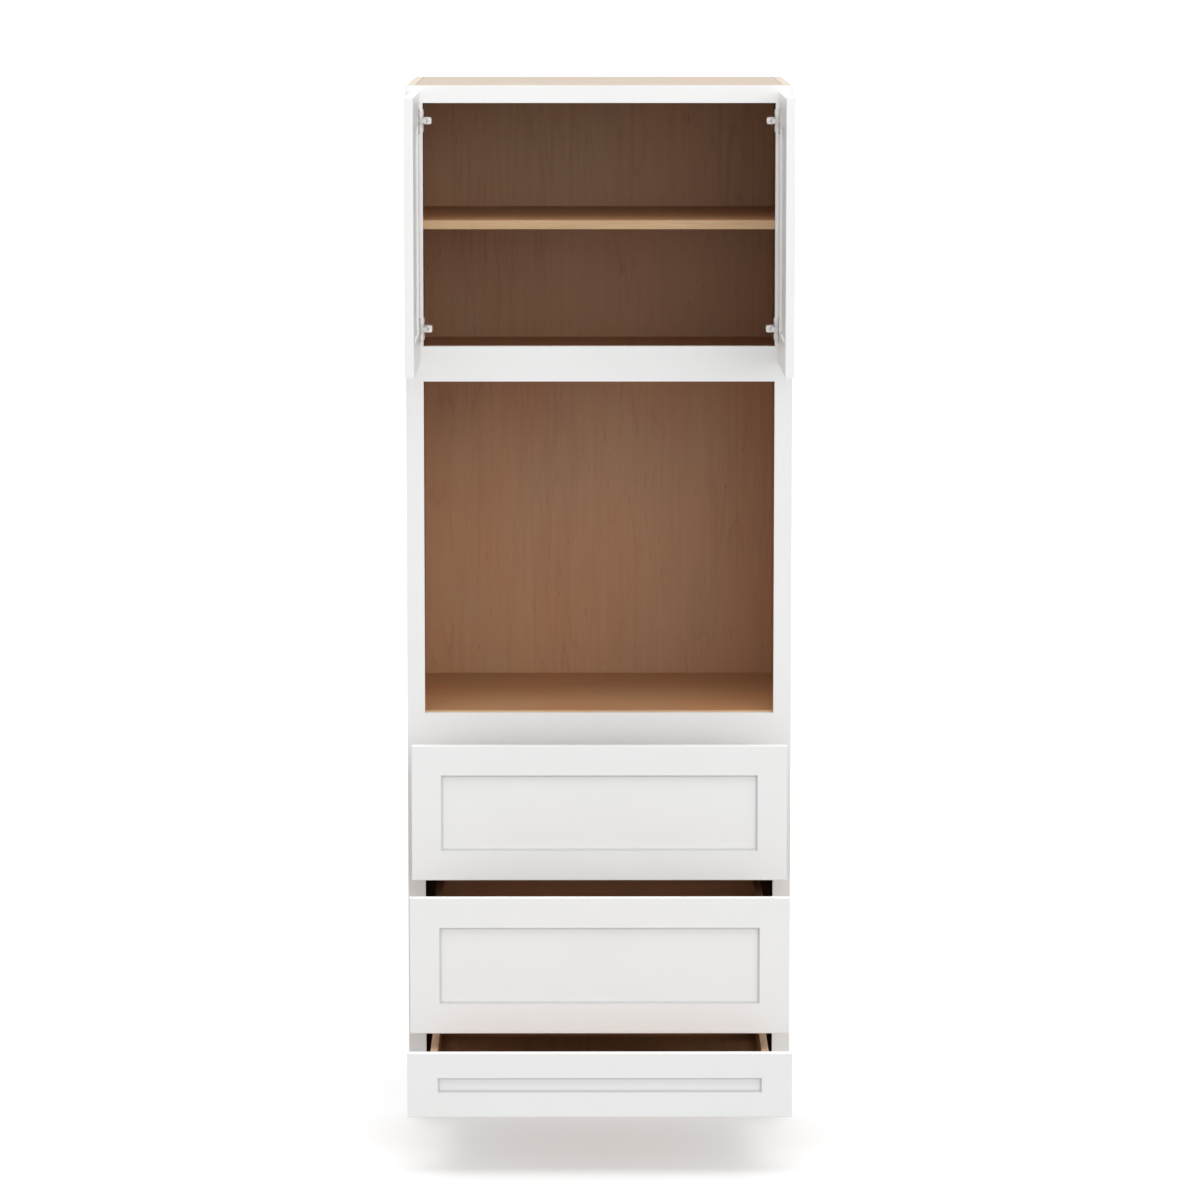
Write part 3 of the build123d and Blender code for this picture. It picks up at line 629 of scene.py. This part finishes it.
# Screws
# Pan-head wood screws of plated steel with a cross recess: two in each hinge plate, cup and slide
# bracket, and one in the tab of each rail. Each is driven until its head lies on what it holds.
def cross_recess(piece, span, width, depth):
    """Cut a tapered cross into the top of a head that stands round the Z axis."""
    top = max(vertex.co.z for vertex in piece.data.vertices)
    span_taper = 0.55
    width_taper = 0.7
    for turn in (0, pi / 2):
        cutter = bmesh.new()
        bmesh.ops.create_cube(cutter, size=1.0)
        bmesh.ops.scale(cutter, vec=(span, width, 2 * depth), verts=cutter.verts)
        foot = [vertex for vertex in cutter.verts if vertex.co.z < 0]
        bmesh.ops.scale(cutter, vec=(span_taper, width_taper, 1.0), verts=foot)
        bmesh.ops.rotate(cutter, matrix=Matrix.Rotation(turn, 3, "Z"), verts=cutter.verts)
        bmesh.ops.translate(cutter, vec=(0, 0, top), verts=cutter.verts)
        tool = moulded("recess_tool", cutter)
        cut = piece.modifiers.new("recess", "BOOLEAN")
        cut.operation = "DIFFERENCE"
        cut.solver = "EXACT"
        cut.object = tool
        bpy.context.view_layer.update()
        finished = piece.evaluated_get(bpy.context.evaluated_depsgraph_get())
        mesh = bpy.data.meshes.new_from_object(finished)
        piece.modifiers.clear()
        piece.data = mesh
        bpy.data.objects.remove(tool)


turning_steps = 24
same_point = 1e-7


def turned(name, outline):
    """A shape turned round the Z axis from its outline of radii and heights."""
    shape = bmesh.new()
    corners = [shape.verts.new((radius, 0, height)) for radius, height in outline]
    runs = [shape.edges.new(pair) for pair in zip(corners, corners[1:])]
    bmesh.ops.spin(
        shape,
        geom=corners + runs,
        cent=(0, 0, 0),
        axis=(0, 0, 1),
        angle=2 * pi,
        steps=turning_steps,
        use_merge=True,
    )
    bmesh.ops.remove_doubles(shape, verts=shape.verts, dist=same_point)
    bmesh.ops.recalc_face_normals(shape, faces=shape.faces)
    return moulded(name, shape)


head_radius = 0.0032
head_height = 0.0012
shank_radius = 0.00175
point_length = 0.003


def pan_screw(shank):
    """A screw with its head above the origin and its shank below."""
    outline = (
        (0.0, head_height),
        (0.35 * head_radius, 0.98 * head_height),
        (0.65 * head_radius, 0.88 * head_height),
        (0.88 * head_radius, 0.68 * head_height),
        (head_radius, 0.38 * head_height),
        (head_radius, 0.0),
        (shank_radius, 0.0),
        (shank_radius, point_length - shank),
        (0.0, -shank),
    )
    screw = turned("pan_screw_pattern", outline)
    cross_recess(screw, span=1.25 * head_radius, width=0.3 * head_radius, depth=0.7 * head_height)
    return screw


def loose_parts(solid):
    """The corners of each part of a shape that hangs together by its edges."""
    waiting = set(solid.verts)
    while waiting:
        ends = [waiting.pop()]
        corners = []
        while ends:
            corner = ends.pop()
            corners.append(corner.co.copy())
            near = [edge.other_vert(corner) for edge in corner.link_edges]
            ends += [other for other in near if other in waiting]
            waiting.difference_update(near)
        yield corners


shank_share = 0.49
rim_margin = 0.0004


def screw_seats(node):
    """Under each head in a node of the frame: its middle, the way it looks, and its shank.

    Only the rim of a head lies further from the screw's middle than half the screw's length.
    """
    solid = bmesh.new()
    solid.from_mesh(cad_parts[node].data)
    bmesh.ops.remove_doubles(solid, verts=solid.verts, dist=same_corner)
    seats = []
    for corners in loose_parts(solid):
        low = Vector([min(corner[axis] for corner in corners) for axis in range(3)])
        high = Vector([max(corner[axis] for corner in corners) for axis in range(3)])
        size = high - low
        axis = max(range(3), key=lambda index: size[index])
        middle = (low + high) / 2
        reach = shank_share * size[axis] + rim_margin
        rim = [corner for corner in corners if (corner - middle).length > reach]
        outward = sum(corner[axis] - middle[axis] for corner in rim)
        way = Vector((0, 0, 0))
        way[axis] = 1.0 if outward > 0 else -1.0
        seat = middle + way * (size[axis] / 2 - head_height)
        seats.append((seat, way, size[axis] - head_height))
    solid.free()
    return sorted(seats, key=lambda entry: tuple(entry[0]))


screw_turn = 1.3


def screw_set(name, node, body, slot, finish):
    """All the screws of one node, each turned a little differently, as a driver leaves them."""
    shape = bmesh.new()
    patterns = {}
    for index, (seat, way, shank) in enumerate(screw_seats(node)):
        length = round(shank, 4)
        if length not in patterns:
            patterns[length] = pan_screw(length)
        copy = patterns[length].data.copy()
        stand = Vector((0, 0, 1)).rotation_difference(way).to_matrix().to_4x4()
        turn = Matrix.Rotation(screw_turn * index, 4, "Z")
        copy.transform(Matrix.Translation(seat) @ stand @ turn)
        shape.from_mesh(copy)
        bpy.data.meshes.remove(copy)
    for pattern in patterns.values():
        bpy.data.objects.remove(pattern)
    placed(moulded(name, shape), body, slot, finish, node)


screw_set("cabinet_screws", "mounting_screws", "cabinet", "zinc_steel", zinc_plate)
for door in ("left", "right"):
    screws = f"{door}_door_screws"
    screw_set(screws, f"{door}_cup_screws", f"{door}_door", "nickel_steel", nickel_plate)


# Hinge adjusting screws
# One zinc-plated screw with a flat head and a cross recess in the front of each hinge arm. Turning it
# shifts the door sideways; it is threaded into the arm, so only the head shows.
arm_front = -0.61065
adjuster_offset = 0.3703
adjuster_radius = 0.0031
adjuster_height = 0.0004
adjuster_depth = 0.001
adjuster_turn = 0.9
hinge_levels = (1.7602, 2.2098)
shape = bmesh.new()
pattern = turned(
    "adjuster_pattern",
    (
        (0.0, adjuster_height),
        (0.85 * adjuster_radius, adjuster_height),
        (adjuster_radius, 0.4 * adjuster_height),
        (adjuster_radius, -adjuster_depth),
        (0.0, -adjuster_depth),
    ),
)
cross_recess(pattern, span=1.3 * adjuster_radius, width=0.32 * adjuster_radius, depth=adjuster_depth)
hinge_arms = [(side, level) for side in (-1, 1) for level in hinge_levels]
for index, (side, level) in enumerate(hinge_arms):
    copy = pattern.data.copy()
    stand = Matrix.Rotation(pi / 2, 4, "X") @ Matrix.Rotation(adjuster_turn * index, 4, "Z")
    copy.transform(Matrix.Translation((side * adjuster_offset, arm_front, level)) @ stand)
    shape.from_mesh(copy)
    bpy.data.meshes.remove(copy)
bpy.data.objects.remove(pattern)
placed(moulded("hinge_adjusters", shape), "cabinet", "nickel_steel", zinc_plate)


# Studio floor and cove
# A pale matt floor under a white dome, both far wider than the cabinet, so that neither shows an edge.
# They throw no light on the cabinet: an even white world and the lamps below do that.
studio_reach = 100.0
floor_radius = 1.1 * studio_reach
ground_level = -0.01
shape = bmesh.new()
bmesh.ops.create_circle(shape, cap_ends=True, segments=96, radius=floor_radius)
floor = moulded("studio_floor", shape)
floor.visible_diffuse = False

shape = bmesh.new()
bmesh.ops.create_uvsphere(shape, u_segments=64, v_segments=32, radius=studio_reach)
below = [vertex for vertex in shape.verts if vertex.co.z < ground_level]
bmesh.ops.delete(shape, geom=below, context="VERTS")
bmesh.ops.reverse_faces(shape, faces=shape.faces)
cove = moulded("studio_cove", shape)
cove.visible_diffuse = False
cove.visible_shadow = False
cove.visible_transmission = False

floor_paint, tree, shader = blank_finish("floor_paint")
floor_cloud = speckle(tree, (2.0, 2.0, 2.0))
floor_grey = shaded(tree, floor_cloud, ((0.3, grey(0.46)), (0.7, grey(0.48))))
tree.links.new(floor_grey, shader.inputs["Base Color"])
shader.inputs["Emission Color"].default_value = (1, 1, 1, 1)
shader.inputs["Emission Strength"].default_value = 0.47
shader.inputs["Roughness"].default_value = 0.7
floor.data.materials.append(floor_paint)

cove_glow, tree, shader = blank_finish("cove_glow")
glow = shaded(tree, speckle(tree, (0.01, 0.01, 0.01), 1.0), ((0.3, grey(1.0)), (0.7, grey(0.99))))
tree.links.new(glow, shader.inputs["Emission Color"])
shader.inputs["Base Color"].default_value = (0, 0, 0, 1)
shader.inputs["Emission Strength"].default_value = 1.02
shader.inputs["Specular IOR Level"].default_value = 0.0
cove.data.materials.append(cove_glow)

surround = bpy.data.worlds.new("studio_surround")
surround.use_nodes = True
surround.node_tree.nodes["Background"].inputs["Color"].default_value = (1, 1, 1, 1)
surround.node_tree.nodes["Background"].inputs["Strength"].default_value = 0.50
bpy.context.scene.world = surround


# Studio lights
# Wide soft lights as from large white screens: one from the front, one low on each side, and one from
# nearly straight above. A softbox hangs above and in front of the cabinet.
def soft_light(name, turn, height, spread, strength):
    """Light from a wide soft source, turned to the right of the camera and raised, in degrees."""
    light = bpy.data.lights.new(name, "SUN")
    light.angle = radians(spread)
    light.energy = strength
    holder = bpy.data.objects.new(name, light)
    bpy.context.scene.collection.objects.link(holder)
    holder.rotation_euler = (radians(90 - height), 0, radians(turn))


soft_light("front_light", turn=17, height=14, spread=44, strength=0.56)
soft_light("right_light", turn=60, height=8, spread=40, strength=0.60)
soft_light("left_light", turn=-62, height=8, spread=40, strength=0.34)
soft_light("top_light", turn=0, height=86, spread=56, strength=2.1)

softbox_tilt = 42
softbox = bpy.data.lights.new("overhead_softbox", "AREA")
softbox.shape = "RECTANGLE"
softbox.size = 3.2
softbox.size_y = 2.0
softbox.energy = 22.0
softbox_holder = bpy.data.objects.new("overhead_softbox", softbox)
softbox_holder.location = (0.0, -2.4, 4.4)
softbox_holder.rotation_euler = (radians(softbox_tilt), 0, 0)
bpy.context.scene.collection.objects.link(softbox_holder)


# Camera
# It stands about 12 m in front of the wall, a little above the cabinet's top, with a long lens, and
# looks down and a touch to the right, as the photograph's camera did.
camera_place = (-0.0288, -11.9076, 2.6398)
camera_pitch = 7.4231
camera_turn = 0.1554
camera = bpy.data.objects.new("camera", bpy.data.cameras.new("camera"))
camera.data.lens = 156.69
camera.data.sensor_width = 36.0
camera.data.clip_end = 500.0
camera.location = camera_place
camera.rotation_euler = (radians(90 - camera_pitch), 0, radians(-camera_turn))
bpy.context.scene.collection.objects.link(camera)
bpy.context.scene.camera = camera
bpy.context.scene.view_settings.view_transform = "Standard"
